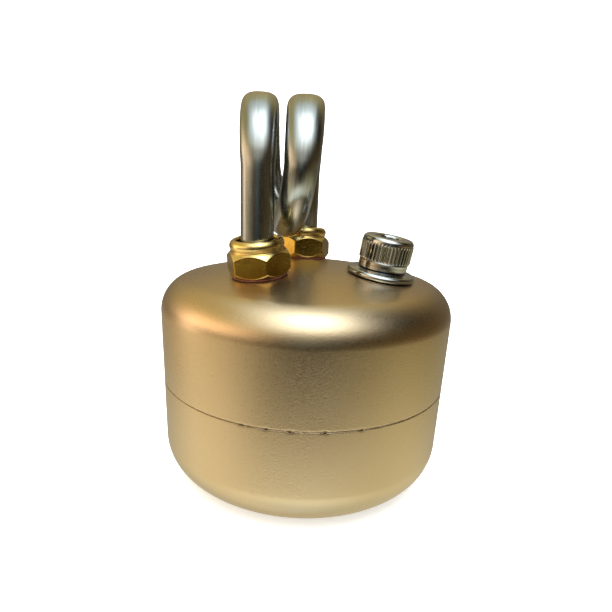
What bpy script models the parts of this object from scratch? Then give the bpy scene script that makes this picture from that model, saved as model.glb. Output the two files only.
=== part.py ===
"""Coil-type vaporising spirit burner for a model engine: a two-part turned aluminium tank with a crowned top,
a bent stainless vaporising tube held in two brass compression glands, and a knurled screw as the filler plug.
Metres, +Z up, origin at the centre of the underside."""

import math

import bmesh
import bpy
from mathutils import Matrix, Vector

for old in list(bpy.data.objects):
    bpy.data.objects.remove(old, do_unlink=True)

MM = 0.001

# ---- tank: outside shape (mm) ----
TANK_R = 39.4          # outside radius of the wall
APEX_Z = 59.0          # top of the crowned deck
DECK_R = 135.4         # radius of the crown
SHOULDER_R = 8.9       # rounding from the wall to the deck
FOOT_R = 11.1          # rounding from the wall to the flat underside
SEAM_Z = 27.95         # where the two shells meet
SEAM_GAP = 0.30
WALL = 2.4             # shell thickness
FLOOR = 2.6            # thickness of the underside
SPIGOT_R = 37.0        # outside of the lower shell's spigot
SPIGOT_IN = 34.4
SPIGOT_TOP = 36.0
SKIRT_IN = 37.3        # bore of the upper shell's skirt over the spigot

# ---- glands: plan positions on the deck (mm) ----
FRONT_XY = (-11.87, -14.34)
REAR_XY = (-1.66, 13.82)
FILLER_XY = (18.91, -7.30)
HEX_AF = 14.0          # gland nut across flats
STUD_R = 5.4
STUD_HOLE = 5.7
SEAT_R = 7.3           # spot face round each gland
SEAT_Z = -0.35
FRONT_TURN = 21.0      # turn of each hexagon about its own axis (degrees)
REAR_TURN = 43.5

# ---- tube (mm) ----
TUBE_R = 4.0
TUBE_BORE = 3.0
TUBE_END = -9.0        # lower end of each leg, along the gland axis
LOOP_Y = (-15.05, 13.26, -14.98, 13.81)      # front, back, front, back
LOOP_Z = (96.90, 69.62, 96.84)               # top, bottom, top of the centreline
LOOP_MID = (83.27, 83.31, 83.18, 83.30)
LOOP_X = (-12.48, -13.32, -13.02, -6.54, -2.53, -2.10, -1.80)
FLATTEN = 1.17         # width against depth where the tube is bent over the top
JET_R = 0.4

# ---- filler screw (mm, along its own axis, 0 on the deck) ----
HEAD_R = 6.65
HEAD_LOW, HEAD_TOP = 1.95, 10.05
SHANK_R = 3.9
SHANK_END = -10.0
BUSH_BORE = 4.2
SOCKET_AF = 6.0
SOCKET_DEEP = 4.4
FILLER_HOLE = 6.5
FILLER_SEAT_R = 8.9
FILLER_SEAT_Z = -0.45


# ---------------------------------------------------------------- helpers
def material(name, colour, metallic, roughness):
    mat = bpy.data.materials.new(name)
    mat.use_nodes = True
    shader = mat.node_tree.nodes["Principled BSDF"]
    shader.inputs["Base Color"].default_value = (*colour, 1.0)
    shader.inputs["Metallic"].default_value = metallic
    shader.inputs["Roughness"].default_value = roughness
    return mat


ANODISED = material("anodised_aluminium", (0.62, 0.50, 0.33), 1.0, 0.38)
STEEL = material("stainless_steel", (0.66, 0.62, 0.58), 1.0, 0.16)
BRASS = material("brass", (0.78, 0.57, 0.22), 1.0, 0.22)
PLATE = material("plated_steel", (0.70, 0.69, 0.68), 1.0, 0.15)
FIBRE = material("fibre", (0.20, 0.06, 0.03), 0.0, 0.7)
SEALANT = material("sealant", (0.10, 0.05, 0.025), 0.0, 0.6)
RUBBER = material("rubber", (0.03, 0.03, 0.03), 0.0, 0.55)
COTTON = material("cotton", (0.80, 0.76, 0.66), 0.0, 0.95)


def to_object(name, verts, faces, mat, frame=None):
    """A mesh object from millimetre points, its origin and turn given by frame, which is in millimetres too."""
    mesh = bpy.data.meshes.new(name)
    mesh.from_pydata([tuple(Vector(v) * MM) for v in verts], [], faces)
    bm = bmesh.new()
    bm.from_mesh(mesh)
    bmesh.ops.recalc_face_normals(bm, faces=bm.faces)
    bm.to_mesh(mesh)
    bm.free()
    if mat:
        mesh.materials.append(mat)
    smooth(mesh)
    obj = bpy.data.objects.new(name, mesh)
    bpy.context.scene.collection.objects.link(obj)
    place = (frame or Matrix.Identity(4)).copy()
    place.translation = place.translation * MM
    obj.matrix_world = place
    return obj


def smooth(mesh):
    mesh.shade_smooth()
    mesh.set_sharp_from_angle(angle=math.radians(32))


def lathe(name, profile, mat, segments=48, frame=None, radius=None):
    """Turns a closed (r, z) outline about Z. A point with r = 0 is one vertex. radius(r, z, a) may reshape it."""
    verts, rows = [], []
    for r, z in profile:
        if r < 1e-6:
            rows.append([len(verts)] * segments)
            verts.append((0, 0, z))
            continue
        row = []
        for i in range(segments):
            a = 2 * math.pi * i / segments
            q = radius(r, z, a) if radius else r
            row.append(len(verts))
            verts.append((q * math.cos(a), q * math.sin(a), z))
        rows.append(row)
    faces = []
    n = len(rows)
    for k in range(n):
        low, high = rows[k], rows[(k + 1) % n]
        for i in range(segments):
            j = (i + 1) % segments
            ring = [low[i], low[j], high[j], high[i]]
            face = [v for m, v in enumerate(ring) if v != ring[m - 1]]
            if len(set(face)) >= 3:
                faces.append(face)
    return to_object(name, verts, faces, mat, frame)


def prism(name, across_flats, low, high, turn, frame=None):
    """A hexagonal bar along Z, for cutting or trimming."""
    r = across_flats / math.sqrt(3)
    ring = [
        (r * math.sin(math.radians(turn + 60 * k)), -r * math.cos(math.radians(turn + 60 * k)))
        for k in range(6)
    ]
    verts = [(x, y, low) for x, y in ring] + [(x, y, high) for x, y in ring]
    faces = [list(range(6)), list(range(6, 12))] + [[k, (k + 1) % 6, 6 + (k + 1) % 6, 6 + k] for k in range(6)]
    return to_object(name, verts, faces, None, frame)


def rod(name, radius, low, high, frame=None, segments=24):
    return lathe(name, [(0, low), (radius, low), (radius, high), (0, high)], None, segments, frame)


def boolean(obj, cutter, operation="DIFFERENCE"):
    """Applies the Boolean at once, then drops the cutter."""
    modifier = obj.modifiers.new("cut", "BOOLEAN")
    modifier.operation = operation
    modifier.solver = "EXACT"
    modifier.object = cutter
    bpy.context.view_layer.update()
    graph = bpy.context.evaluated_depsgraph_get()
    done = bpy.data.meshes.new_from_object(obj.evaluated_get(graph))
    mats = [m for m in obj.data.materials]
    obj.modifiers.remove(modifier)
    done.materials.clear()
    for m in mats:
        done.materials.append(m)
    obj.data = done
    smooth(done)
    bpy.data.objects.remove(cutter, do_unlink=True)


def arc(cr, cz, r, a0, a1, n):
    """n + 1 points round (cr, cz), angles in degrees from +r towards +z."""
    return [
        (cr + r * math.cos(math.radians(a0 + (a1 - a0) * i / n)), cz + r * math.sin(math.radians(a0 + (a1 - a0) * i / n)))
        for i in range(n + 1)
    ]


# ---------------------------------------------------------------- deck geometry
DECK_C = APEX_Z - DECK_R                                     # height of the crown's centre
CROWN_A = math.asin((TANK_R - SHOULDER_R) / (DECK_R - SHOULDER_R))
WALL_TOP = DECK_C + (DECK_R - SHOULDER_R) * math.cos(CROWN_A)


def deck_frame(xy):
    """A frame on the crowned deck with its Z along the outward normal and its X level with the row's X."""
    x, y = xy
    z = math.sqrt(DECK_R**2 - x * x - y * y)
    normal = Vector((x, y, z)).normalized()
    along = Vector((1, 0, 0))
    along = (along - normal * along.dot(normal)).normalized()
    across = normal.cross(along)
    place = Matrix.Identity(4)
    for k in range(3):
        place[k][0], place[k][1], place[k][2] = along[k], across[k], normal[k]
    place[0][3], place[1][3], place[2][3] = x, y, DECK_C + z
    return place


FRONT, REAR, FILLER = deck_frame(FRONT_XY), deck_frame(REAR_XY), deck_frame(FILLER_XY)


def crown(inset, steps):
    """Apex to wall top of the surface lying inset below the outside."""
    tilt = math.degrees(CROWN_A)
    top = arc(0, DECK_C, DECK_R - inset, 90, 90 - tilt, steps[0])
    top[0] = (0, APEX_Z - inset)
    side = arc(TANK_R - SHOULDER_R, WALL_TOP, SHOULDER_R - inset, 90 - tilt, 0, steps[1])
    return top + side[1:]


# ---------------------------------------------------------------- tank
SEGMENTS = 56
upper = crown(0, (3, 6)) + [
    (TANK_R, SEAM_Z + SEAM_GAP / 2 + 0.15),
    (TANK_R - 0.15, SEAM_Z + SEAM_GAP / 2),
    (SKIRT_IN + 1.2, SEAM_Z + SEAM_GAP / 2),
    (SKIRT_IN, SEAM_Z + 1.5),
    (SKIRT_IN, SPIGOT_TOP + 0.6),
    (TANK_R - WALL, SPIGOT_TOP + 0.9),
]
inner = crown(WALL, (3, 4))
upper += [(r, z) for r, z in reversed(inner)]
upper_shell = lathe("upper_shell", upper, ANODISED, SEGMENTS)

lower = [(0, 0)] + arc(TANK_R - FOOT_R, FOOT_R, FOOT_R, -90, 0, 7) + [
    (TANK_R, SEAM_Z - SEAM_GAP / 2 - 0.15),
    (TANK_R - 0.15, SEAM_Z - SEAM_GAP / 2),
    (SPIGOT_R, SEAM_Z - SEAM_GAP / 2),
    (SPIGOT_R, SPIGOT_TOP - 0.5),
    (SPIGOT_R - 0.5, SPIGOT_TOP),
    (SPIGOT_IN, SPIGOT_TOP),
    (SPIGOT_IN, 22.0),
    (TANK_R - WALL, 18.0),
] + arc(TANK_R - FOOT_R, FOOT_R, FOOT_R - WALL, 0, -72, 4) + [
    (TANK_R - FOOT_R - 1.5, FLOOR),
    (0, FLOOR),
]
lower_shell = lathe("lower_shell", lower, ANODISED, SEGMENTS)

for frame in (FRONT, REAR):
    boolean(upper_shell, rod("hole", STUD_HOLE, -8, 5, frame))
    boolean(upper_shell, rod("seat", SEAT_R, SEAT_Z, 5, frame))
boolean(upper_shell, rod("hole", FILLER_HOLE, -8, 5, FILLER))
boolean(upper_shell, rod("seat", FILLER_SEAT_R, FILLER_SEAT_Z, 5, FILLER))

# a bead of set sealant lies in the corner behind the seam
lathe(
    "seam_sealant",
    [
        (SPIGOT_R + 0.15, SEAM_Z - 0.03),
        (SPIGOT_R + 1.85, SEAM_Z - 0.03),
        (SPIGOT_R + 1.85, SEAM_Z + 0.03),
        (SPIGOT_R + 1.15, SEAM_Z + 0.05),
        (SPIGOT_R + 0.25, SEAM_Z + 0.95),
        (SPIGOT_R + 0.15, SEAM_Z + 0.95),
    ],
    SEALANT,
    SEGMENTS,
)

# ---------------------------------------------------------------- compression glands
NUT = [
    (6.05, 0.45),
    (6.95, 0.45),
    (8.40, 1.90),
    (8.40, 4.40),
    (6.75, 6.05),
    (6.05, 6.20),
    (6.10, 6.65),
    (6.58, 7.40),
    (6.50, 8.30),
    (6.05, 8.80),
    (5.60, 8.95),
    (5.05, 8.65),
    (4.90, 8.20),
    (4.90, 7.30),
    (5.75, 5.60),
    (5.75, 0.75),
]
STUD = [
    (4.30, -6.50),
    (6.60, -6.50),
    (8.40, -5.75),
    (8.40, -3.95),
    (7.90, -3.45),
    (STUD_R, -3.45),
    (STUD_R, 4.20),
    (5.20, 4.40),
    (4.90, 4.40),
    (4.30, 3.40),
]
for side, frame, turn in (("front", FRONT, FRONT_TURN), ("rear", REAR, REAR_TURN)):
    nut = lathe(side + "_nut", NUT, BRASS, 30, frame)
    boolean(nut, prism("hexagon", HEX_AF, -2, 12, turn, frame), "INTERSECT")
    stud = lathe(side + "_stud", STUD, BRASS, 24, frame)
    boolean(stud, prism("hexagon", HEX_AF, -9, 8, turn, frame), "INTERSECT")
    lathe(
        side + "_ferrule",
        [(4.2, 4.55), (4.35, 4.55), (5.0, 5.5), (5.05, 6.1), (4.5, 7.1), (4.2, 7.1)],
        BRASS,
        24,
        frame,
    )
    lathe(side + "_washer", [(5.75, -0.20), (6.85, -0.20), (6.95, 0.02), (6.85, 0.25), (5.75, 0.25)], FIBRE, 24, frame)
    lathe(side + "_inner_seal", [(5.75, -3.25), (7.6, -3.25), (7.6, -2.75), (5.75, -2.75)], FIBRE, 24, frame)


# ---------------------------------------------------------------- vaporising tube
def spline(points, per):
    """A centripetal-like smooth line through the points."""
    out = []
    n = len(points)
    for i in range(n - 1):
        p0, p1, p2, p3 = points[max(i - 1, 0)], points[i], points[i + 1], points[min(i + 2, n - 1)]
        for k in range(per):
            t = k / per
            out.append(
                0.5
                * (
                    2 * p1
                    + (p2 - p0) * t
                    + (2 * p0 - 5 * p1 + 4 * p2 - p3) * t * t
                    + (3 * p1 - p0 - 3 * p2 + p3) * t**3
                )
            )
    out.append(points[-1])
    return out


def ease(values, t):
    """Smooth value at t quarter-turns along a list given once a quarter-turn."""
    i = min(int(t), len(values) - 2)
    f = t - i
    left = 0 if i == 0 else (values[i + 1] - values[i - 1]) / 2
    right = 0 if i + 2 >= len(values) else (values[i + 2] - values[i]) / 2
    return (
        (2 * f**3 - 3 * f**2 + 1) * values[i]
        + (f**3 - 2 * f**2 + f) * left
        + (3 * f**2 - 2 * f**3) * values[i + 1]
        + (f**3 - f**2) * right
    )


def loop_point(t):
    """Centreline at t quarter-turns: 0 is the front leg's top, 6 the rear leg's."""
    half = min(int(t // 2), 2)
    s = (t - 2 * half) * math.pi / 2
    y = (LOOP_Y[half] + LOOP_Y[half + 1]) / 2 + (LOOP_Y[half] - LOOP_Y[half + 1]) / 2 * math.cos(s)
    mid = LOOP_MID[half] if s < math.pi / 2 else LOOP_MID[half + 1]
    z = mid + (LOOP_Z[half] - mid) * math.sin(s)
    return Vector((ease(LOOP_X, t), y, z))


def tube_path(arc_steps):
    """(points, flattening) from the front leg's lower end to the rear leg's."""
    start = [FRONT @ Vector((0, 0, z)) for z in (TUBE_END, -3.0, 3.0, 6.5)]
    rise = [Vector((LOOP_X[0] + 0.02, LOOP_Y[0] + 0.03, 71.5)), Vector((LOOP_X[0], LOOP_Y[0], 77.5))]
    fall = [Vector((LOOP_X[-1], LOOP_Y[-1], 77.5)), Vector((LOOP_X[-1], LOOP_Y[-1] - 0.03, 71.5))]
    end = [REAR @ Vector((0, 0, z)) for z in (6.5, 3.0, -3.0, TUBE_END)]
    ring = [loop_point(6 * i / arc_steps) for i in range(arc_steps + 1)]
    points = start + rise + ring + fall + end
    widths = []
    for i in range(arc_steps + 1):
        a = 6 * i / arc_steps * math.pi / 2
        widths.append(1 + (FLATTEN - 1) * max(0.0, math.sin(a)) ** 0.5)
    widths = [1.0] * 6 + widths + [1.0] * 6
    return points, widths


def sweep(name, points, widths, outer, bore, mat, segments):
    """A tube along points; width is across the loop, and depth shrinks to keep the girth about the same."""
    n = len(points)
    verts, rings = [], []
    for r in (outer, bore):
        rows = []
        for i, point in enumerate(points):
            ahead = (points[min(i + 1, n - 1)] - points[max(i - 1, 0)]).normalized()
            deep = ahead.cross(Vector((1, 0, 0))).normalized()
            wide = ahead.cross(deep)
            row = []
            for k in range(segments):
                a = 2 * math.pi * k / segments
                row.append(len(verts))
                verts.append(point + deep * (r * math.cos(a) / widths[i]) + wide * (r * math.sin(a) * widths[i]))
            rows.append(row)
        rings.append(rows)
    faces = []
    for rows in rings:
        for i in range(n - 1):
            for k in range(segments):
                j = (k + 1) % segments
                faces.append([rows[i][k], rows[i][j], rows[i + 1][j], rows[i + 1][k]])
    for i in (0, n - 1):
        for k in range(segments):
            j = (k + 1) % segments
            faces.append([rings[0][i][k], rings[0][i][j], rings[1][i][j], rings[1][i][k]])
    return to_object(name, verts, faces, mat)


points, widths = tube_path(42)
coil = sweep("vaporiser_coil", points, widths, TUBE_R, TUBE_BORE, STEEL, 16)
low = loop_point(3.0)
boolean(coil, rod("jet", JET_R, low.z, low.z + 6, Matrix.Translation((low.x, low.y, 0)), 8))


def wick(name, frame, foot):
    """A cotton cord held in the tube's end, hanging to just above the tank's floor."""
    line = [frame @ Vector((0, 0, z)) for z in (-3.5, TUBE_END)]
    tip = Vector(foot)
    line += [frame @ Vector((0, 0, TUBE_END - 4)), line[-1].lerp(tip, 0.45), line[-1].lerp(tip, 0.75), tip]
    path = spline(line, 2)
    n = len(path)
    segments = 14
    verts, rows = [], []
    for i, point in enumerate(path):
        ahead = (path[min(i + 1, n - 1)] - path[max(i - 1, 0)]).normalized()
        side = ahead.cross(Vector((1, 0, 0))).normalized()
        other = ahead.cross(side)
        r = 2.6 if i < 3 else 2.9
        row = []
        for k in range(segments):
            a = 2 * math.pi * k / segments
            row.append(len(verts))
            verts.append(point + side * (r * math.cos(a)) + other * (r * math.sin(a)))
        rows.append(row)
    faces = [rows[0][::-1], rows[-1]]
    for i in range(n - 1):
        for k in range(segments):
            j = (k + 1) % segments
            faces.append([rows[i][k], rows[i][j], rows[i + 1][j], rows[i + 1][k]])
    to_object(name, verts, faces, COTTON)


wick("front_wick", FRONT, (-9.5, -10.0, 3.8))
wick("rear_wick", REAR, (-3.0, 9.0, 3.8))

# ---------------------------------------------------------------- filler
TEETH = 46


def knurl(r, z, a):
    """Straight grooves round the middle band of the head."""
    if r < HEAD_R - 0.2 or not 3.9 < z < 8.7:
        return r
    return r - 0.22 * (0.5 - 0.5 * math.cos(a * TEETH))


screw = lathe(
    "filler_screw",
    [
        (0, SHANK_END),
        (SHANK_R - 0.8, SHANK_END),
        (SHANK_R, SHANK_END + 0.8),
        (SHANK_R, HEAD_LOW),
        (HEAD_R - 0.55, HEAD_LOW),
        (HEAD_R - 0.25, HEAD_LOW + 0.35),
        (HEAD_R - 0.20, 3.75),
        (HEAD_R, 4.0),
        (HEAD_R, 8.6),
        (HEAD_R - 0.20, 8.9),
        (HEAD_R - 0.55, 9.55),
        (HEAD_R - 1.25, HEAD_TOP),
        (0, HEAD_TOP),
    ],
    PLATE,
    2 * TEETH,
    FILLER,
    knurl,
)
boolean(screw, prism("socket", SOCKET_AF, HEAD_TOP - SOCKET_DEEP, HEAD_TOP + 2, 12, FILLER))

lathe(
    "filler_washer",
    [
        (4.30, 0.75),
        (7.55, 0.75),
        (7.75, 0.45),
        (7.85, -0.10),
        (8.30, -0.10),
        (8.55, 0.30),
        (8.50, 0.85),
        (8.15, 1.30),
        (7.50, 1.60),
        (6.60, 1.75),
        (4.45, 1.75),
        (4.30, 1.60),
    ],
    PLATE,
    32,
    FILLER,
)
lathe("filler_seal", [(4.35, -0.25), (7.35, -0.25), (7.45, 0.15), (7.35, 0.50), (4.35, 0.50)], RUBBER, 24, FILLER)
lathe(
    "filler_bush",
    [
        (BUSH_BORE, -9.0),
        (6.3, -9.0),
        (6.6, -8.7),
        (6.6, -4.9),
        (8.0, -4.6),
        (8.0, -2.95),
        (6.25, -2.95),
        (6.25, -0.50),
        (4.65, -0.50),
        (BUSH_BORE, -0.95),
    ],
    BRASS,
    24,
    FILLER,
)
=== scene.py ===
"""Looks of a model engine's vaporising spirit burner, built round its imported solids. Metres; helpers take millimetres."""

import math
import random

import bmesh
import bpy
import numpy as np
from mathutils import Matrix, Vector, noise


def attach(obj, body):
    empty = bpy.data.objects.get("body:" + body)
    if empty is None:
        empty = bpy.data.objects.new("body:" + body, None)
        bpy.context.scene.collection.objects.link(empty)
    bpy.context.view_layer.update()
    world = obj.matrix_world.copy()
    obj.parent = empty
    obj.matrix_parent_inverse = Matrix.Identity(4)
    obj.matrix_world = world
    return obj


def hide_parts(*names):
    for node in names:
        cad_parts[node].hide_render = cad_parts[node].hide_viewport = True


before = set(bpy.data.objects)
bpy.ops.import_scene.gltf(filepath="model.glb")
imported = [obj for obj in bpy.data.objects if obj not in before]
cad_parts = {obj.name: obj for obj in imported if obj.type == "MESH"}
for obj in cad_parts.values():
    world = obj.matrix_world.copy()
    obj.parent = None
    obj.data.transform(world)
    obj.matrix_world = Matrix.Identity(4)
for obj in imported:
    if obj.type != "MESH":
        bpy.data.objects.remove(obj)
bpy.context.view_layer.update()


MM = 0.001
random.seed(11)

# ------------------------------------------------------------------ dimensions (mm), as in the solids
TANK_R = 39.4
APEX_Z = 59.0
DECK_R = 135.4
SHOULDER_R = 8.9
FOOT_R = 11.1
SEAM_Z = 27.95
SEAM_GAP = 0.30
WALL = 2.4
FLOOR = 2.6
SPIGOT_R = 37.0
SPIGOT_IN = 34.4
SPIGOT_TOP = 36.0
SKIRT_IN = 37.3
FRONT_XY = (-11.87, -14.34)
REAR_XY = (-1.66, 13.82)
FILLER_XY = (18.91, -7.30)
FRONT_TURN, REAR_TURN = 21.0, 43.5
TUBE_R, TUBE_BORE, TUBE_END = 4.0, 3.0, -9.0
LOOP_Y = (-15.05, 13.26, -14.98, 13.81)
LOOP_Z = (96.90, 69.62, 96.84)
LOOP_MID = (83.27, 83.31, 83.18, 83.30)
LOOP_X = (-12.48, -13.32, -13.02, -6.54, -2.53, -2.10, -1.80)
FLATTEN = 1.17

DECK_C = APEX_Z - DECK_R
CROWN_A = math.asin((TANK_R - SHOULDER_R) / (DECK_R - SHOULDER_R))
WALL_TOP = DECK_C + (DECK_R - SHOULDER_R) * math.cos(CROWN_A)


def deck_frame(xy):
    x, y = xy
    z = math.sqrt(DECK_R**2 - x * x - y * y)
    normal = Vector((x, y, z)).normalized()
    along = Vector((1, 0, 0))
    along = (along - normal * along.dot(normal)).normalized()
    across = normal.cross(along)
    place = Matrix.Identity(4)
    for k in range(3):
        place[k][0], place[k][1], place[k][2] = along[k], across[k], normal[k]
    place[0][3], place[1][3], place[2][3] = x, y, DECK_C + z
    return place


FRONT, REAR, FILLER = deck_frame(FRONT_XY), deck_frame(REAR_XY), deck_frame(FILLER_XY)


# ------------------------------------------------------------------ mesh helpers
def finish_mesh(name, verts, faces, mat, place=None, sharp=32, uvs=None):
    """An object from millimetre points in the frame place. uvs, if given, has one pair a face corner."""
    place = (place or Matrix.Identity(4)).copy()
    pts = np.array(verts, float).reshape(-1, 3)
    rot = np.array(place.to_3x3())
    pts = (pts @ rot.T + np.array(place.translation)) * MM
    mesh = bpy.data.meshes.new(name)
    mesh.from_pydata(pts.tolist(), [], faces)
    if uvs is not None:
        layer = mesh.uv_layers.new(name="UVMap")
        layer.data.foreach_set("uv", np.array(uvs, np.float32).ravel())
    mesh.update()
    mesh.shade_smooth()
    mesh.set_sharp_from_angle(angle=math.radians(sharp))
    obj = bpy.data.objects.new(name, mesh)
    bpy.context.scene.collection.objects.link(obj)
    if mat:
        mesh.materials.append(mat)
    return obj


def rings_mesh(name, rings, mat, place=None, closed=True, sharp=32):
    """Joins equal rings of points, in order, into a skin. closed joins the last ring to the first.
    UV: u runs round (0 to 1), v along the rings in millimetres."""
    rings = [np.array(r, float) for r in rings]
    n, m = len(rings), len(rings[0])
    verts = np.concatenate(rings)
    faces, uvs = [], []
    dist = [0.0]
    for i in range(1, n + 1):
        a, b = rings[i - 1], rings[i % n]
        dist.append(dist[-1] + float(np.linalg.norm(a - b, axis=1).mean()))
    for i in range(n if closed else n - 1):
        j = (i + 1) % n
        for k in range(m):
            q = (k + 1) % m
            faces.append([i * m + k, i * m + q, j * m + q, j * m + k])
            uvs += [(k / m, dist[i]), ((k + 1) / m, dist[i]), ((k + 1) / m, dist[i + 1]), (k / m, dist[i + 1])]
    obj = finish_mesh(name, verts, faces, mat, place, sharp, uvs)
    bm = bmesh.new()
    bm.from_mesh(obj.data)
    bmesh.ops.remove_doubles(bm, verts=bm.verts, dist=1e-8)
    bmesh.ops.dissolve_degenerate(bm, dist=1e-8, edges=bm.edges)
    bmesh.ops.recalc_face_normals(bm, faces=bm.faces)
    bm.to_mesh(obj.data)
    bm.free()
    obj.data.shade_smooth()
    obj.data.set_sharp_from_angle(angle=math.radians(sharp))
    return obj


def turned(name, outline, mat, segments, place=None, reshape=None, sharp=32):
    """Turns a closed (r, z) outline about Z; reshape(r, z, angle) may return a new (r, z)."""
    rings = []
    for r, z in outline:
        ring = []
        for k in range(segments):
            a = 2 * math.pi * k / segments
            rr, zz = reshape(r, z, a) if reshape and r > 1e-6 else (r, z)
            ring.append((rr * math.cos(a), rr * math.sin(a), zz))
        rings.append(ring)
    return rings_mesh(name, rings, mat, place, True, sharp)


def arc(cr, cz, r, a0, a1, n):
    return [
        (cr + r * math.cos(math.radians(a0 + (a1 - a0) * i / n)), cz + r * math.sin(math.radians(a0 + (a1 - a0) * i / n)))
        for i in range(n + 1)
    ]


def softened(points, radius, steps=4):
    """Rounds the corners of a closed outline."""
    out = []
    n = len(points)
    for i in range(n):
        p, c, q = Vector(points[i - 1]), Vector(points[i]), Vector(points[(i + 1) % n])
        a, b = p - c, q - c
        if c.x < 1e-6 or a.length < 1e-6 or b.length < 1e-6:
            out.append(tuple(c))
            continue
        bend = math.pi - a.angle(b)
        if bend < math.radians(14):
            out.append(tuple(c))
            continue
        cut = min(radius, a.length * 0.45, b.length * 0.45)
        s, e = c + a.normalized() * cut, c + b.normalized() * cut
        for k in range(steps + 1):
            t = k / steps
            out.append(tuple(s * (1 - t) ** 2 + c * 2 * t * (1 - t) + e * t * t))
    return out


def dense(points, step):
    """Adds points along the straight runs of a closed outline so that none is longer than step."""
    out = []
    n = len(points)
    for i in range(n):
        a, b = Vector(points[i]), Vector(points[(i + 1) % n])
        k = max(1, math.ceil((b - a).length / step))
        out += [tuple(a.lerp(b, t / k)) for t in range(k)]
    return out


def cut(obj, cutter, operation="DIFFERENCE", sharp=32):
    modifier = obj.modifiers.new("cut", "BOOLEAN")
    modifier.operation, modifier.solver, modifier.object = operation, "EXACT", cutter
    bpy.context.view_layer.update()
    done = bpy.data.meshes.new_from_object(obj.evaluated_get(bpy.context.evaluated_depsgraph_get()))
    mats = list(obj.data.materials)
    obj.modifiers.remove(modifier)
    done.materials.clear()
    for m in mats:
        done.materials.append(m)
    obj.data = done
    done.shade_smooth()
    done.set_sharp_from_angle(angle=math.radians(sharp))
    bpy.data.objects.remove(cutter, do_unlink=True)


def rod(radius, low, high, place, segments=96):
    return turned("cutter", [(0, low), (radius, low), (radius, high), (0, high)], None, segments, place)


def hexagon(angle, half, power=90, turn=0.0):
    """Distance from the centre to a slightly rounded hexagon at this angle. half is half its width across flats."""
    total = 0.0
    for k in range(6):
        c = math.cos(angle - math.radians(turn + 60 * k - 60))
        if c > 0:
            total += c**power
    return half / total ** (1 / power)


# ------------------------------------------------------------------ material helpers
class Nodes:
    """Short ways to add and join nodes in one material."""

    def __init__(self, name, colour, metallic, roughness):
        self.mat = bpy.data.materials.new(name)
        self.mat.use_nodes = True
        self.tree = self.mat.node_tree
        self.shader = self.tree.nodes["Principled BSDF"]
        self.shader.inputs["Base Color"].default_value = (*colour, 1)
        self.shader.inputs["Metallic"].default_value = metallic
        self.shader.inputs["Roughness"].default_value = roughness
        self.coord = self.tree.nodes.new("ShaderNodeTexCoord")

    def add(self, kind, **values):
        node = self.tree.nodes.new(kind)
        for key, value in values.items():
            if hasattr(node, key):
                setattr(node, key, value)
            else:
                node.inputs[key.replace("_", " ")].default_value = value
        return node

    def join(self, out, into):
        self.tree.links.new(out, into)

    def mapped(self, source="Object", scale=(1, 1, 1), rotation=(0, 0, 0)):
        node = self.add("ShaderNodeMapping")
        node.inputs["Scale"].default_value = scale
        node.inputs["Rotation"].default_value = rotation
        self.join(self.coord.outputs[source], node.inputs["Vector"])
        return node.outputs["Vector"]

    def noise(self, scale, detail=3.0, rough=0.5, vector=None, distortion=0.0):
        node = self.add("ShaderNodeTexNoise")
        node.inputs["Scale"].default_value = scale
        node.inputs["Detail"].default_value = detail
        node.inputs["Roughness"].default_value = rough
        node.inputs["Distortion"].default_value = distortion
        self.join(vector if vector is not None else self.coord.outputs["Object"], node.inputs["Vector"])
        return node.outputs["Fac"]

    def spots(self, scale, vector=None, randomness=1.0):
        node = self.add("ShaderNodeTexVoronoi")
        node.inputs["Scale"].default_value = scale
        node.inputs["Randomness"].default_value = randomness
        self.join(vector if vector is not None else self.coord.outputs["Object"], node.inputs["Vector"])
        return node.outputs["Distance"]

    def ramp(self, value, stops):
        node = self.add("ShaderNodeValToRGB")
        band = node.color_ramp
        while len(band.elements) < len(stops):
            band.elements.new(0.5)
        for element, (at, colour) in zip(band.elements, stops):
            element.position = at
            element.color = (*colour, 1) if len(colour) == 3 else colour
        self.join(value, node.inputs["Fac"])
        return node.outputs["Color"]

    def span(self, value, low, high, to_low, to_high):
        node = self.add("ShaderNodeMapRange")
        node.inputs["From Min"].default_value = low
        node.inputs["From Max"].default_value = high
        node.inputs["To Min"].default_value = to_low
        node.inputs["To Max"].default_value = to_high
        self.join(value, node.inputs["Value"])
        return node.outputs["Result"]

    def math(self, operation, a, b):
        node = self.add("ShaderNodeMath")
        node.operation = operation
        for value, slot in ((a, 0), (b, 1)):
            if isinstance(value, (int, float)):
                node.inputs[slot].default_value = value
            else:
                self.join(value, node.inputs[slot])
        return node.outputs["Value"]

    def mix(self, factor, a, b, blend="MIX"):
        node = self.add("ShaderNodeMix")
        node.data_type = "RGBA"
        node.blend_type = blend
        for value, slot in ((factor, 0), (a, 6), (b, 7)):
            if isinstance(value, (int, float)):
                node.inputs[slot].default_value = value
            elif isinstance(value, tuple):
                node.inputs[slot].default_value = (*value, 1)
            else:
                self.join(value, node.inputs[slot])
        return node.outputs[2]

    def bump(self, height, distance, strength=1.0, before=None):
        node = self.add("ShaderNodeBump")
        node.inputs["Strength"].default_value = strength
        node.inputs["Distance"].default_value = distance
        self.join(height, node.inputs["Height"])
        if before is not None:
            self.join(before, node.inputs["Normal"])
        return node.outputs["Normal"]

    def set(self, **links):
        names = {"colour": "Base Color", "roughness": "Roughness", "normal": "Normal", "metallic": "Metallic"}
        for key, out in links.items():
            self.join(out, self.shader.inputs[names[key]])
        return self.mat


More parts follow.
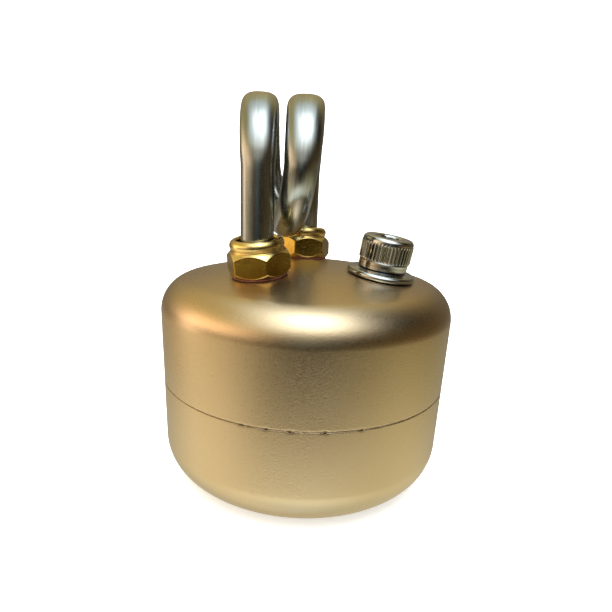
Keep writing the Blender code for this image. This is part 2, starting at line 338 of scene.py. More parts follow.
def anodised():
    """Bead-blasted, champagne-anodised aluminium."""
    m = Nodes("anodised", (0.66, 0.53, 0.36), 1.0, 0.36)
    cloud = m.noise(38, 2, 0.5)
    grain = m.noise(2600, 2, 0.6)
    colour = m.ramp(cloud, [(0.3, (0.545, 0.425, 0.275)), (0.7, (0.585, 0.465, 0.315))])
    colour = m.mix(0.16, colour, m.ramp(grain, [(0.35, (0.44, 0.34, 0.21)), (0.68, (0.68, 0.56, 0.40))]))
    pits = m.span(m.spots(210), 0.0, 0.045, 1.0, 0.0)
    colour = m.mix(pits, colour, (0.30, 0.21, 0.11))
    rough = m.math("ADD", m.span(grain, 0.3, 0.7, -0.035, 0.035), m.span(cloud, 0.3, 0.7, 0.285, 0.320))
    coarse = m.noise(900, 2, 0.5)
    height = m.math("ADD", m.math("MULTIPLY", grain, 0.8), m.math("MULTIPLY", coarse, 0.12))
    return m.set(colour=colour, roughness=rough, normal=m.bump(height, 0.00006, 0.45))


def brass(name="brass_turned", shades=((0.62, 0.45, 0.16), (0.74, 0.57, 0.24), (0.84, 0.70, 0.37)), dull=0.0):
    m = Nodes(name, (0.86, 0.62, 0.22), 1.0, 0.2)
    cloud = m.noise(160, 3, 0.55)
    fine = m.noise(1500, 3, 0.6)
    colour = m.ramp(cloud, [(0.28, shades[0]), (0.52, shades[1]), (0.75, shades[2])])
    stain = m.span(m.noise(420, 4, 0.6), 0.56, 0.72, 0.0, 0.55)
    colour = m.mix(stain, colour, (0.36, 0.21, 0.05))
    rough = m.math("ADD", m.span(fine, 0.3, 0.7, 0.10 + dull, 0.22 + dull), m.math("MULTIPLY", stain, 0.25))
    stretched = m.noise(1.0, 2, 0.5, m.mapped("UV", (3.0, 26.0, 1.0)))
    height = m.math("ADD", m.math("MULTIPLY", stretched, 0.9), m.math("MULTIPLY", fine, 0.35))
    return m.set(colour=colour, roughness=rough, normal=m.bump(height, 0.000025, 0.5))


def stainless():
    """Drawn tube: long streaks, fine scratches, a faint straw tint in scattered patches."""
    m = Nodes("stainless_tube", (0.58, 0.56, 0.53), 1.0, 0.24)
    long_streaks = m.noise(1.0, 4, 0.65, m.mapped("UV", (26.0, 0.055, 1.0)))
    finer = m.noise(1.0, 3, 0.7, m.mapped("UV", (80.0, 0.22, 1.0)))
    cloud = m.noise(90, 3, 0.5)
    colour = m.ramp(long_streaks, [(0.3, (0.28, 0.298, 0.302)), (0.55, (0.355, 0.378, 0.382)), (0.75, (0.43, 0.455, 0.458))])
    colour = m.mix(m.span(cloud, 0.45, 0.75, 0.0, 0.35), colour, (0.37, 0.345, 0.315))
    rough = m.math("ADD", m.span(finer, 0.3, 0.7, 0.18, 0.28), m.span(cloud, 0.3, 0.7, -0.03, 0.04))
    height = m.math("ADD", m.math("MULTIPLY", finer, 0.5), m.math("MULTIPLY", long_streaks, 0.6))
    return m.set(colour=colour, roughness=rough, normal=m.bump(height, 0.000022, 0.5))


def plated():
    """Bright zinc plate over steel, a little cloudy and duller in patches."""
    m = Nodes("bright_plate", (0.74, 0.74, 0.73), 1.0, 0.14)
    cloud = m.noise(260, 4, 0.6)
    fine = m.noise(1900, 2, 0.5)
    colour = m.ramp(cloud, [(0.3, (0.42, 0.44, 0.455)), (0.6, (0.545, 0.57, 0.59)), (0.8, (0.66, 0.685, 0.70))])
    rough = m.math("ADD", m.span(cloud, 0.35, 0.7, 0.17, 0.08), m.span(fine, 0.3, 0.7, -0.02, 0.04))
    return m.set(colour=colour, roughness=rough, normal=m.bump(fine, 0.00002, 0.4))


def sealant():
    m = Nodes("dark_sealant", (0.16, 0.11, 0.055), 0.0, 0.55)
    cloud = m.noise(600, 4, 0.6)
    colour = m.ramp(cloud, [(0.35, (0.16, 0.11, 0.055)), (0.7, (0.30, 0.22, 0.12))])
    return m.set(colour=colour, roughness=m.span(cloud, 0.3, 0.7, 0.4, 0.7), normal=m.bump(cloud, 0.0001, 0.6))


def fibre():
    m = Nodes("red_fibre", (0.24, 0.075, 0.035), 0.0, 0.65)
    weave = m.noise(1300, 3, 0.6)
    colour = m.ramp(weave, [(0.3, (0.10, 0.026, 0.012)), (0.7, (0.25, 0.075, 0.03))])
    return m.set(colour=colour, roughness=m.span(weave, 0.3, 0.7, 0.5, 0.8), normal=m.bump(weave, 0.00006, 0.6))


def rubber():
    m = Nodes("black_rubber", (0.03, 0.03, 0.03), 0.0, 0.55)
    cloud = m.noise(900, 3, 0.6)
    colour = m.ramp(cloud, [(0.3, (0.02, 0.02, 0.02)), (0.7, (0.05, 0.048, 0.045))])
    return m.set(colour=colour, roughness=m.span(cloud, 0.3, 0.7, 0.45, 0.7), normal=m.bump(cloud, 0.00004, 0.5))


def cotton():
    m = Nodes("cotton_wick", (0.8, 0.76, 0.66), 0.0, 0.95)
    thread = m.noise(1400, 3, 0.6)
    colour = m.ramp(thread, [(0.3, (0.62, 0.56, 0.45)), (0.7, (0.86, 0.83, 0.74))])
    return m.set(colour=colour, roughness=m.span(thread, 0.3, 0.7, 0.85, 1.0), normal=m.bump(thread, 0.00015, 0.8))


ANODISED, BRASS, STEEL, PLATE = anodised(), brass(), stainless(), plated()
SEALANT, FIBRE, RUBBER, COTTON = sealant(), fibre(), rubber(), cotton()
# darker brass for the nuts' flats: painted shade standing in for the dark reflections on them, not a colour of the
# metal
BRASS_FLATS_PAINTED_SHADE = brass("brass_flats_painted_shade", ((0.30, 0.175, 0.025), (0.385, 0.245, 0.04), (0.47, 0.32, 0.065)), 0.06)

# ------------------------------------------------------------------ camera
PX = 612
FOCAL, CX, CY = 478.9, 301.55, 348.2      # pixels
YAW, PITCH, ROLL = -0.0060, -0.3220, 0.0430
EYE = Vector((0.0, -132.1, 78.1)) * MM

camera_data = bpy.data.cameras.new("camera")
camera_data.sensor_width = 36.0
camera_data.sensor_fit = "HORIZONTAL"
camera_data.lens = FOCAL / PX * 36.0
camera_data.shift_x = (PX / 2 - CX) / PX
camera_data.shift_y = (CY - PX / 2) / PX
camera_data.clip_start = 0.005
camera = bpy.data.objects.new("camera", camera_data)
bpy.context.scene.collection.objects.link(camera)
ahead = Vector((math.sin(YAW) * math.cos(PITCH), math.cos(YAW) * math.cos(PITCH), math.sin(PITCH)))
right = ahead.cross(Vector((0, 0, 1))).normalized()
up = right.cross(ahead)
right, up = right * math.cos(ROLL) + up * math.sin(ROLL), up * math.cos(ROLL) - right * math.sin(ROLL)
turn = Matrix((right, up, -ahead)).transposed()
camera.matrix_world = Matrix.Translation(EYE) @ turn.to_4x4()
bpy.context.scene.camera = camera

# ------------------------------------------------------------------ tank
SIDES = 320


def crown(inset, steps):
    tilt = math.degrees(CROWN_A)
    top = arc(0, DECK_C, DECK_R - inset, 90, 90 - tilt, steps[0])
    top[0] = (0, APEX_Z - inset)
    side = arc(TANK_R - SHOULDER_R, WALL_TOP, SHOULDER_R - inset, 90 - tilt, 0, steps[1])
    return top + side[1:]


# small chips along the seam: (angle from the front in degrees, half width in degrees, depth mm, height mm)
CHIPS = [
    (-19.7, 0.75, 0.20, 0.28), (-17.0, 0.3, 0.08, 0.14), (-11.0, 0.75, 0.20, 0.26), (-3.4, 0.75, 0.22, 0.32),
    (-1.8, 0.4, 0.1, 0.16), (1.4, 0.9, 0.05, 0.12), (7.9, 0.6, 0.20, 0.30), (13.2, 0.25, 0.08, 0.14), (20.0, 0.6, 0.18, 0.28),
    (-31.0, 0.35, 0.1, 0.18), (64.0, 0.4, 0.14, 0.22), (-74.0, 0.5, 0.16, 0.24), (118.0, 0.6, 0.2, 0.3),
    (151.0, 0.35, 0.12, 0.2), (-140.0, 0.6, 0.2, 0.26), (-103.0, 0.3, 0.12, 0.2), (175.0, 0.4, 0.14, 0.2),
]


def chip(a, low_side):
    """(depth, height) eaten from the seam's edge at this angle."""
    front = (math.degrees(a) + 90 + 180) % 360 - 180
    deep = tall = 0.0
    for at, half, depth, height in CHIPS:
        d = abs((front - at + 180) % 360 - 180) / half
        if d < 1:
            w = (1 - d * d) ** 0.7
            share = 1.0 if low_side else 0.45
            deep, tall = max(deep, depth * w * share), max(tall, height * w * share)
    rough = noise.noise(Vector((math.cos(a) * 34, math.sin(a) * 34, 3.0 if low_side else 9.0)))
    tall += max(0.0, rough - 0.12) * 0.16
    return deep, tall


def seam_edge(base_z, sign):
    """Reshapes the shells' edges next to the seam. sign is +1 for the upper shell, -1 for the lower."""

    def shape(r, z, a):
        away = (z - base_z) * sign
        if r > TANK_R - 0.8 and -0.01 <= away < 0.9:
            deep, tall = chip(a, sign < 0)
            fade = max(0.0, 1 - away / 0.75)
            z += sign * tall * fade
            if r > TANK_R - 0.2:
                r -= deep * 0.35 * max(0.0, 1 - away / 0.3)
        return r, z

    return shape


UP_Z, LOW_Z = SEAM_Z + SEAM_GAP / 2, SEAM_Z - SEAM_GAP / 2
outer = crown(0, (26, 44))
upper = outer + [(TANK_R, WALL_TOP - k * (WALL_TOP - UP_Z - 0.9) / 10) for k in range(1, 11)]
upper += [
    (TANK_R, UP_Z + 0.55), (TANK_R, UP_Z + 0.2), (TANK_R - 0.003, UP_Z + 0.09), (TANK_R - 0.016, UP_Z + 0.045),
    (TANK_R - 0.042, UP_Z + 0.014), (TANK_R - 0.08, UP_Z), (TANK_R - 0.5, UP_Z), (SKIRT_IN + 1.2, UP_Z),
    (SKIRT_IN, SEAM_Z + 1.5), (SKIRT_IN, SPIGOT_TOP + 0.6), (TANK_R - WALL, SPIGOT_TOP + 0.9),
]
upper += list(reversed(crown(WALL, (10, 12))))
tank_upper = turned("tank_upper", upper, ANODISED, SIDES, None, seam_edge(UP_Z, 1))
for place in (FRONT, REAR):
    cut(tank_upper, rod(5.7, -8, 5, place))
    cut(tank_upper, rod(7.3, -0.35, 5, place))
cut(tank_upper, rod(6.5, -8, 5, FILLER))
cut(tank_upper, rod(8.9, -0.45, 5, FILLER))

lower = [(0, 0), (14, 0), (TANK_R - FOOT_R - 0.01, 0)] + arc(TANK_R - FOOT_R, FOOT_R, FOOT_R, -90, 0, 44)
lower += [(TANK_R, FOOT_R + k * (LOW_Z - 0.9 - FOOT_R) / 8) for k in range(1, 9)]
lower += [
    (TANK_R, LOW_Z - 0.55), (TANK_R, LOW_Z - 0.2), (TANK_R - 0.003, LOW_Z - 0.07), (TANK_R - 0.014, LOW_Z - 0.035),
    (TANK_R - 0.034, LOW_Z - 0.012), (TANK_R - 0.06, LOW_Z), (TANK_R - 0.5, LOW_Z), (SPIGOT_R, LOW_Z),
    (SPIGOT_R, SPIGOT_TOP - 0.5), (SPIGOT_R - 0.5, SPIGOT_TOP), (SPIGOT_IN, SPIGOT_TOP), (SPIGOT_IN, 22.0),
    (TANK_R - WALL, 18.0),
] + arc(TANK_R - FOOT_R, FOOT_R, FOOT_R - WALL, 0, -72, 14) + [(TANK_R - FOOT_R - 1.5, FLOOR), (0, FLOOR)]
tank_lower = turned("tank_lower", lower, ANODISED, SIDES, None, seam_edge(LOW_Z, -1))


def bead(r, z, a):
    """The sealant bead: uneven, nearly flush, and missing where the edge is chipped."""
    deep, tall = chip(a, True)
    wave = noise.noise(Vector((math.cos(a) * 9, math.sin(a) * 9, 1.0)))
    if r > SPIGOT_R + 1.6:
        r += 0.36 + 0.06 * wave - min(deep * 1.2, 0.3)
        z += (z - SEAM_Z) * 1.9 - tall * 0.25
    return min(r, TANK_R - 0.02), z


seam_bead = turned(
    "seam_bead",
    [
        (SPIGOT_R + 0.15, SEAM_Z - 0.05), (SPIGOT_R + 1.0, SEAM_Z - 0.06), (SPIGOT_R + 1.85, SEAM_Z - 0.05),
        (SPIGOT_R + 1.95, SEAM_Z), (SPIGOT_R + 1.85, SEAM_Z + 0.05), (SPIGOT_R + 1.15, SEAM_Z + 0.07),
        (SPIGOT_R + 0.25, SEAM_Z + 0.95), (SPIGOT_R + 0.15, SEAM_Z + 0.95),
    ],
    SEALANT, 720, None, bead,
)


# ------------------------------------------------------------------ gland nuts
def smooth_min(a, b, q=110):
    return (a**-q + b**-q) ** (-1 / q)


def nut(name, place, hex_turn):
    """A chamfered hexagon with a rolled collar above it."""

    def cone(z):
        """The turned outline that trims the hexagon."""
        if z < 1.9:
            return 6.95 + (z - 0.45) * 1.0
        if z > 4.55:
            return 8.25 - (z - 4.55) * 1.02
        return 8.6

    body = []
    z = 0.55
    while z < 6.0:
        body.append(z)
        z += 0.07 if (z < 2.0 or z > 4.3) else 0.35
    rows = [("flat", 6.25, 0.29), ("flat", 6.66, 0.29), ("hex", None, 0.31), ("hex", None, 0.42)] + [("hex", None, z) for z in body]
    collar = [
        (6.84, 6.00), (6.62, 6.02), (6.48, 6.08), (6.41, 6.17), (6.395, 6.28), (6.42, 6.42), (6.48, 6.60),
        (6.55, 6.80), (6.61, 7.00), (6.655, 7.22), (6.67, 7.44), (6.655, 7.66), (6.61, 7.87), (6.53, 8.07),
        (6.42, 8.26), (6.28, 8.43), (6.10, 8.58), (5.88, 8.71), (5.65, 8.80), (5.44, 8.83), (5.25, 8.79),
        (5.09, 8.68), (4.98, 8.50), (4.92, 8.24), (4.90, 7.75), (4.90, 7.30), (5.30, 6.50), (5.75, 5.60),
    ]
    threads = []
    z = 5.4
    while z > 0.9:
        threads += [(5.75, z), (5.62, z - 0.25), (5.75, z - 0.5)]
        z -= 0.5
    rows += [("turn", r, z) for r, z in collar + threads + [(5.80, 0.50), (6.02, 0.29)]]
    rings = []
    sides = 360
    for kind, r, z in rows:
        ring = []
        for k in range(sides):
            a = 2 * math.pi * k / sides
            if kind == "hex":
                q = smooth_min(hexagon(a, 7.0, 90, hex_turn), cone(z))
            elif kind == "flat":
                q = r
            else:
                q = r
            ring.append((q * math.cos(a), q * math.sin(a), z))
        rings.append(ring)
    made = rings_mesh(name, rings, BRASS, place, True, 40)
    # the hexagon's flats get a darker, slightly rougher brass; the darker colour is painted shade standing in for the
    # dark reflections the flats show
    made.data.materials.append(BRASS_FLATS_PAINTED_SHADE)
    back = place.inverted()
    for face in made.data.polygons:
        c = back @ (face.center / MM)
        across, round_at = math.hypot(c.x, c.y), math.atan2(c.y, c.x)
        if 0.5 < c.z < 6.0 and across > 6.4 and hexagon(round_at, 7.0, 90, hex_turn) < cone(c.z) - 0.03:
            face.material_index = 1
    return made


# the hexagon helper has its flats' normals at turn + 60 k - 60, and the solids' corners lie at turn + 60 k - 90
nut_front = nut("gland_nut_front", FRONT, FRONT_TURN)
nut_rear = nut("gland_nut_rear", REAR, REAR_TURN)


# ------------------------------------------------------------------ tube
def ease(values, t):
    i = min(int(t), len(values) - 2)
    f = t - i
    left = 0 if i == 0 else (values[i + 1] - values[i - 1]) / 2
    right_slope = 0 if i + 2 >= len(values) else (values[i + 2] - values[i]) / 2
    return (
        (2 * f**3 - 3 * f**2 + 1) * values[i]
        + (f**3 - 2 * f**2 + f) * left
        + (3 * f**2 - 2 * f**3) * values[i + 1]
        + (f**3 - f**2) * right_slope
    )


def loop_point(t):
    half = min(int(t // 2), 2)
    s = (t - 2 * half) * math.pi / 2
    y = (LOOP_Y[half] + LOOP_Y[half + 1]) / 2 + (LOOP_Y[half] - LOOP_Y[half + 1]) / 2 * math.cos(s)
    mid = LOOP_MID[half] if s < math.pi / 2 else LOOP_MID[half + 1]
    z = mid + (LOOP_Z[half] - mid) * math.sin(s)
    return Vector((ease(LOOP_X, t), y, z))


def tube_line():
    """Knots of the centreline with their flattening, then a dense smooth line through them."""
    start = [FRONT @ Vector((0, 0, z)) for z in (TUBE_END, -3.0, 3.0, 6.5)]
    rise = [Vector((LOOP_X[0] + 0.02, LOOP_Y[0] + 0.03, 71.5)), Vector((LOOP_X[0], LOOP_Y[0], 77.5))]
    fall = [Vector((LOOP_X[-1], LOOP_Y[-1], 77.5)), Vector((LOOP_X[-1], LOOP_Y[-1] - 0.03, 71.5))]
    end = [REAR @ Vector((0, 0, z)) for z in (6.5, 3.0, -3.0, TUBE_END)]
    steps = 42
    ring = [loop_point(6 * i / steps) for i in range(steps + 1)]
    knots = start + rise + ring + fall + end
    flat = [0.0] * 6 + [max(0.0, math.sin(6 * i / steps * math.pi / 2)) for i in range(steps + 1)] + [0.0] * 6
    pts, wide = [], []
    n = len(knots)
    per = 9
    for i in range(n - 1):
        p0, p1, p2, p3 = knots[max(i - 1, 0)], knots[i], knots[i + 1], knots[min(i + 2, n - 1)]
        for k in range(per):
            t = k / per
            # the straight legs stay round; the two tops are squashed, the second one more
            pts.append(0.5 * (2 * p1 + (p2 - p0) * t + (2 * p0 - 5 * p1 + 4 * p2 - p3) * t * t + (3 * p1 - p0 - 3 * p2 + p3) * t**3))
            s = flat[i] * (1 - t) + flat[i + 1] * t
            share = s**0.5
            wide.append(share)
    pts.append(knots[-1])
    wide.append(0.0)
    for _ in range(6):
        wide = [wide[0]] + [(wide[i - 1] + 2 * wide[i] + wide[i + 1]) / 4 for i in range(1, len(wide) - 1)] + [wide[-1]]
    return pts, wide


def tube():
    pts, wide = tube_line()
    n, sides = len(pts), 72
    length = [0.0]
    for i in range(1, n):
        length.append(length[-1] + (pts[i] - pts[i - 1]).length)
    outer_rings, inner_rings = [], []
    for i, p in enumerate(pts):
        way = (pts[min(i + 1, n - 1)] - pts[max(i - 1, 0)]).normalized()
        deep = way.cross(Vector((1, 0, 0))).normalized()
        side = way.cross(deep)
        o, b = [], []
        share = wide[i]
        broad = 1 + (0.105 + 0.05 * (i > n / 2)) * share
        thin = 1 - 0.205 * share
        power = 2 + 0.75 * share
        for k in range(sides):
            a = 2 * math.pi * k / sides
            # draw marks and the faint waviness that bending leaves
            wave = 0.012 * noise.noise(Vector((math.cos(a) * 1.3, math.sin(a) * 1.3, length[i] * 0.16)))
            wave += 0.02 * share * noise.noise(Vector((5 + math.cos(a), math.sin(a), length[i] * 0.42)))
            square = (abs(math.cos(a)) ** power + abs(math.sin(a)) ** power) ** (-1 / power)
            r = (TUBE_R - 0.015) * square + wave
            o.append(p + deep * (r * math.cos(a) * thin) + side * (r * math.sin(a) * broad))
            b.append(p + deep * (TUBE_BORE * math.cos(a) * thin) + side * (TUBE_BORE * math.sin(a) * broad))
        outer_rings.append(o)
        inner_rings.append(b)
    return rings_mesh("coil_tube", outer_rings + inner_rings[::-1], STEEL, None, True, 40)


coil_tube = tube()


# ------------------------------------------------------------------ filler screw and washer
def screw():
    teeth = 46
    sides = teeth * 10
    rows = []
    # knurled, smooth or hexagonal rings: (kind, r, z)
    rows += [("turn", 0.0, -10.0), ("turn", 2.9, -10.0), ("turn", 3.15, -9.75)]
    z = -9.5
    rows += [("turn", 3.25, z)]
    pitch = 1.25
    while z < 0.9:
        rows.append(("thread", 3.9, z))
        z += pitch / 10
    rows += [("turn", 3.45, 1.15), ("turn", 3.45, 1.7), ("turn", 3.6, 1.9), ("turn", 4.2, 1.95)]
    rows += [("turn", 5.90, 1.95), ("turn", 6.12, 1.98), ("turn", 6.22, 2.07), ("turn", 6.26, 2.22), ("turn", 6.28, 3.0), ("turn", 6.30, 3.7)]
    rows += [("turn", 6.36, 3.95), ("knurl0.0", 6.44, 4.05), ("knurl0.25", 6.55, 4.16), ("knurl0.7", 6.62, 4.3), ("knurl1.0", 6.65, 4.5)]
    rows += [("knurl1.0", 6.65, 4.5 + 0.45 * k) for k in range(1, 9)]
    rows += [("knurl0.8", 6.64, 8.25), ("knurl0.45", 6.60, 8.42), ("knurl0.15", 6.55, 8.58), ("turn", 6.50, 8.72)]
    rows += [("turn", r, z) for r, z in arc(5.35, 8.90, 1.15, 0, 90, 12)]
    rows += [("turn", 5.0, 10.05), ("turn", 4.4, 10.05), ("turn", 3.80, 10.04), ("turn", 3.62, 9.98)]
    rows += [("lead", 3.45, 9.82), ("lead", 3.3, 9.68), ("hex", 3.0, 9.5), ("hex", 3.0, 8.6), ("hex", 3.0, 7.2), ("hex", 3.0, 5.75), ("hex", 2.9, 5.65), ("turn", 1.2, 5.35), ("turn", 0.0, 5.2)]
    rings = []
    for kind, r, z in rows:
        ring = []
        for k in range(sides):
            a = 2 * math.pi * k / sides
            q = r
            if kind.startswith("knurl"):
                share = float(kind[5:])
                tooth = (a * teeth / (2 * math.pi)) % 1.0
                groove = max(0.0, 1 - abs(tooth - 0.5) / 0.36)
                q = r - 0.27 * share * groove**0.8
            elif kind == "thread":
                turn_at = (z / pitch - a / (2 * math.pi)) % 1.0
                v = abs(turn_at - 0.5) * 2
                fade = min(1.0, (z + 9.6) / 0.8, (1.1 - z) / 0.9)
                q = 3.88 - 0.62 * max(0.0, min(1.0, 1.15 * v - 0.08)) * max(0.0, fade) - 0.5 * (1 - max(0.0, fade)) * (z < -5)
            elif kind == "hex":
                q = hexagon(a, r, 60, 12.0)
            elif kind == "lead":
                q = max(r, hexagon(a, 3.0, 60, 12.0) + 0.0)
            ring.append((q * math.cos(a), q * math.sin(a), z))
        rings.append(ring)
    return rings_mesh("filler_knob", rings, PLATE, FILLER, True, 30)


filler_knob = screw()


def wobble(r, z, a):
    return r * (1 + 0.0015 * math.sin(2 * a + 0.5)), z + 0.015 * math.sin(3 * a)


WASHER = softened(
    [
        (4.30, 0.75), (7.70, 0.75), (7.95, 0.45), (8.05, -0.10), (8.48, -0.10), (8.78, 0.28), (8.80, 0.78),
        (8.54, 1.20), (8.12, 1.42), (7.60, 1.45), (7.05, 1.60), (6.50, 1.75), (4.45, 1.75), (4.30, 1.60),
    ],
    0.22, 4,
)
filler_disc = turned("filler_disc", WASHER, PLATE, 200, FILLER, wobble, 40)

for node, mat in (
    ("front_ferrule", BRASS), ("rear_ferrule", BRASS), ("front_stud", BRASS), ("rear_stud", BRASS), ("filler_bush", BRASS),
    ("front_washer", FIBRE), ("rear_washer", FIBRE), ("front_inner_seal", FIBRE), ("rear_inner_seal", FIBRE),
    ("front_wick", COTTON), ("rear_wick", COTTON), ("filler_seal", RUBBER),
):
    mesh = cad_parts[node].data
    mesh.materials.clear()
    mesh.materials.append(mat)

# ------------------------------------------------------------------ what rides on what
for piece, body, node, slot in (
    (tank_upper, "tank", "upper_shell", "tank"),
    (tank_lower, "tank", "lower_shell", "tank"),
    (seam_bead, "tank", "seam_sealant", "sealant"),
    (nut_front, "tank", "front_nut", "gland"),
    (nut_rear, "tank", "rear_nut", "gland"),
    (coil_tube, "tank", "vaporiser_coil", "tube"),
    (filler_disc, "filler_lift", "filler_washer", "plating"),
    (filler_knob, "filler_plug", "filler_screw", "plating"),
):
    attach(piece, body)
    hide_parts(node)


# ------------------------------------------------------------------ stage and light
def stage_material(name, colour, rough):
    m = Nodes(name, colour, 0.0, rough)
    n = m.noise(9, 2, 0.5)
    return m.set(colour=m.ramp(n, [(0.3, tuple(c * 0.985 for c in colour)), (0.7, colour)]))


def sweep_floor():
    """A pale floor that curves up into a backdrop behind the object."""
    rows = []
    depth, height, bend = 0.75, 1.1, 0.35
    line = [(-0.60, 0.0), (-0.3, 0.0), (0.0, 0.0), (0.3, 0.0)]
    line += [(depth - bend + bend * math.sin(t * math.pi / 2 / 12), bend - bend * math.cos(t * math.pi / 2 / 12)) for t in range(13)]
    line += [(depth, height)]
    verts, faces = [], []
    xs = [-1.3, -0.6, 0.0, 0.6, 1.3]
    for y, z in line:
        for x in xs:
            verts.append((x / MM, y / MM, z / MM))
    for i in range(len(line) - 1):
        for k in range(len(xs) - 1):
            a = i * len(xs) + k
            faces.append([a, a + 1, a + 1 + len(xs), a + len(xs)])
    obj = finish_mesh("floor", verts, faces, stage_material("pale_floor", (0.90, 0.905, 0.915), 0.6), None, 60)
    glow = obj.data.materials[0].node_tree.nodes["Principled BSDF"]
    glow.inputs["Emission Color"].default_value = (1.0, 1.0, 1.0, 1)
    glow.inputs["Emission Strength"].default_value = 0.5
    obj.visible_glossy = False
    return obj


sweep_floor()


def area(name, at, aim, size, power, colour=(1, 1, 1)):
    data = bpy.data.lights.new(name, "AREA")
    data.shape = "RECTANGLE"
    data.size, data.size_y = size
    data.energy = power
    data.color = colour
    obj = bpy.data.objects.new(name, data)
    bpy.context.scene.collection.objects.link(obj)
    at, aim = Vector(at), Vector(aim)
    obj.matrix_world = Matrix.Translation(at) @ (aim - at).to_track_quat("-Z", "Y").to_matrix().to_4x4()
    return obj


def studio_world():
    """Surroundings for the metal to mirror, set by direction: bright low down, dim towards the front, warm on the left.
    The camera itself sees a plain pale ground in their place."""
    world = bpy.data.worlds.new("studio")
    bpy.context.scene.world = world
    world.use_nodes = True
    tree = world.node_tree
    tree.nodes.clear()

    def node(kind, **values):
        made = tree.nodes.new(kind)
        for key, value in values.items():
            setattr(made, key, value)
        return made

    def calc(operation, a, b=0.0, clamp=False):
        made = node("ShaderNodeMath", operation=operation, use_clamp=clamp)
        for value, slot in ((a, 0), (b, 1)):
            if isinstance(value, (int, float)):
                made.inputs[slot].default_value = value
            else:
                tree.links.new(value, made.inputs[slot])
        return made.outputs[0]

    coord = node("ShaderNodeTexCoord")
    split = node("ShaderNodeSeparateXYZ")
    tree.links.new(coord.outputs["Generated"], split.inputs[0])
    x, y, z = split.outputs
    across = calc("MAXIMUM", calc("SQRT", calc("ADD", calc("MULTIPLY", x, x), calc("MULTIPLY", y, y))), 0.0001)
    level = calc("MULTIPLY_ADD", z, 0.5)
    level.node.inputs[2].default_value = 0.5
    total = None
    for lobe in LOBES:
        turned_x = calc("DIVIDE", x, across)
        turned_y = calc("DIVIDE", y, across)
        aim = math.radians(lobe["aim"])
        toward = calc("ADD", calc("MULTIPLY", turned_x, math.sin(aim)), calc("MULTIPLY", turned_y, -math.cos(aim)))
        weight = calc("POWER", calc("MAXIMUM", toward, 0.0), float(lobe["narrow"]))
        ramp = node("ShaderNodeValToRGB")
        band = ramp.color_ramp
        band.interpolation = "EASE"
        stops = lobe["stops"]
        while len(band.elements) < len(stops):
            band.elements.new(0.5)
        for element, (at, colour) in zip(band.elements, stops):
            element.position = at * 0.5 + 0.5
            element.color = (*(c / 3.0 for c in colour), 1)
        tree.links.new(level, ramp.inputs["Fac"])
        scaled = node("ShaderNodeVectorMath", operation="SCALE")
        tree.links.new(ramp.outputs["Color"], scaled.inputs[0])
        tree.links.new(calc("MULTIPLY", weight, 3.0), scaled.inputs["Scale"])
        if total is None:
            total = scaled.outputs[0]
        else:
            both = node("ShaderNodeVectorMath", operation="ADD")
            tree.links.new(total, both.inputs[0])
            tree.links.new(scaled.outputs[0], both.inputs[1])
            total = both.outputs[0]
    for side, height, narrow, colour in LAMPS:
        a, e = math.radians(side), math.radians(height)
        facing = node("ShaderNodeVectorMath", operation="DOT_PRODUCT")
        tree.links.new(coord.outputs["Generated"], facing.inputs[0])
        facing.inputs[1].default_value = (math.sin(a) * math.cos(e), -math.cos(a) * math.cos(e), math.sin(e))
        glow = calc("POWER", calc("MAXIMUM", facing.outputs["Value"], 0.0), float(narrow))
        lit = node("ShaderNodeVectorMath", operation="SCALE")
        lit.inputs[0].default_value = colour
        tree.links.new(glow, lit.inputs["Scale"])
        both = node("ShaderNodeVectorMath", operation="ADD")
        tree.links.new(total, both.inputs[0])
        tree.links.new(lit.outputs[0], both.inputs[1])
        total = both.outputs[0]
    around = node("ShaderNodeBackground")
    tree.links.new(total, around.inputs["Color"])
    plain = node("ShaderNodeBackground")
    plain.inputs["Color"].default_value = (0.90, 0.90, 0.89, 1)
    path = node("ShaderNodeLightPath")
    choose = node("ShaderNodeMixShader")
    tree.links.new(path.outputs["Is Camera Ray"], choose.inputs[0])
    tree.links.new(around.outputs[0], choose.inputs[1])
    tree.links.new(plain.outputs[0], choose.inputs[2])
    out = node("ShaderNodeOutputWorld")
    tree.links.new(choose.outputs[0], out.inputs["Surface"])


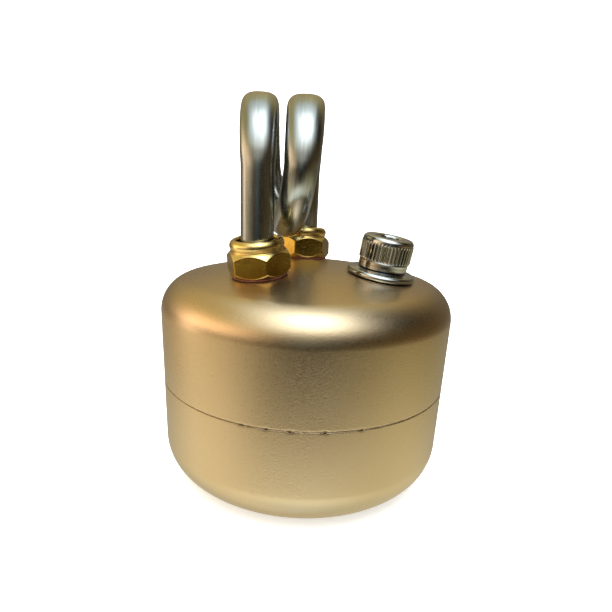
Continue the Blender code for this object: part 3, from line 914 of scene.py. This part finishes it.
LOBES = [
    # front: pale ground low down, a dark room from there up, a bright ceiling above
    {"aim": 0, "narrow": 2, "stops": [
        (-1.0, (0.98, 1.03, 0.94)), (-0.60, (1.75, 1.78, 1.44)), (-0.53, (0.78, 0.62, 0.38)), (-0.45, (0.10, 0.08, 0.05)),
        (-0.38, (0.03, 0.022, 0.012)), (-0.30, (0.014, 0.010, 0.005)), (-0.20, (0.010, 0.007, 0.004)), (0.20, (0.012, 0.009, 0.006)),
        (0.42, (0.34, 0.30, 0.19)), (0.60, (1.10, 1.12, 0.96)), (0.80, (1.15, 1.34, 1.36)), (1.0, (1.18, 1.31, 1.29))]},
    # left: pale ground, then a softly lit wall
    {"aim": -90, "narrow": 2, "stops": [
        (-1.0, (0.76, 0.76, 0.60)), (-0.5, (0.94, 0.90, 0.66)), (-0.22, (0.60, 0.44, 0.20)), (-0.10, (0.19, 0.13, 0.06)),
        (0.05, (0.22, 0.17, 0.08)), (0.5, (0.82, 0.66, 0.27)), (0.8, (0.68, 0.56, 0.24)), (1.0, (1.18, 1.31, 1.29))]},
    {"aim": 90, "narrow": 2, "stops": [
        (-1.0, (0.82, 0.83, 0.62)), (-0.55, (1.10, 1.05, 0.74)), (-0.32, (0.54, 0.48, 0.25)), (-0.16, (0.18, 0.12, 0.05)),
        (0.0, (0.12, 0.08, 0.03)), (0.6, (0.010, 0.008, 0.004)), (0.85, (0.05, 0.04, 0.02)), (1.0, (1.18, 1.31, 1.29))]},
    # behind: the backdrop
    {"aim": 180, "narrow": 2, "stops": [
        (-1.0, (0.82, 0.74, 0.52)), (-0.3, (0.36, 0.35, 0.32)), (0.0, (0.20, 0.19, 0.15)), (0.25, (0.28, 0.24, 0.18)),
        (0.6, (0.60, 0.46, 0.20)), (0.8, (0.74, 0.66, 0.34)), (1.0, (1.18, 1.31, 1.29))]},
    # a warm lamp to the left and in front, above the horizon
    {"aim": -72, "narrow": 5, "stops": [
        (0.0, (0.36, 0.30, 0.20)), (0.10, (2.05, 1.52, 1.02)), (0.34, (1.70, 1.10, 0.72)), (0.50, (0.15, 0.09, 0.04)), (0.65, (0.0, 0.0, 0.0))]},
    # a tall narrow window to the left
    {"aim": -95, "narrow": 64, "stops": [
        (-0.30, (0.08, 0.08, 0.07)), (-0.16, (1.75, 1.42, 1.08)), (0.06, (1.9, 1.38, 1.04)), (0.40, (0.25, 0.18, 0.13)), (0.60, (0.0, 0.0, 0.0))]},
    # a faint cool strip straight ahead
    {"aim": 2, "narrow": 40, "stops": [
        (-0.14, (0.0, 0.0, 0.0)), (0.0, (0.16, 0.20, 0.185)), (0.30, (0.20, 0.25, 0.23)), (0.46, (0.0, 0.0, 0.0))]},
]

# soft round lamps overhead: where they are (azimuth from the front, height in degrees), how narrow, how bright
LAMPS = [
    (13, 59, 13, (2.98, 3.06, 3.12)),
    (2, 80, 30, (1.55, 1.60, 1.60)),
]
studio_world()

area("key_over", (0.006, -0.135, 0.40), (0.0, -0.03, 0.05), (0.09, 0.07), 0.05, (1.0, 0.99, 0.965))
wash = area("back_wash", (0.0, 0.10, 0.85), (0.0, 0.25, 0.0), (1.1, 0.9), 10.0, (0.985, 0.99, 1.0))
wash.visible_glossy = False

bpy.context.scene.view_settings.view_transform = "Standard"
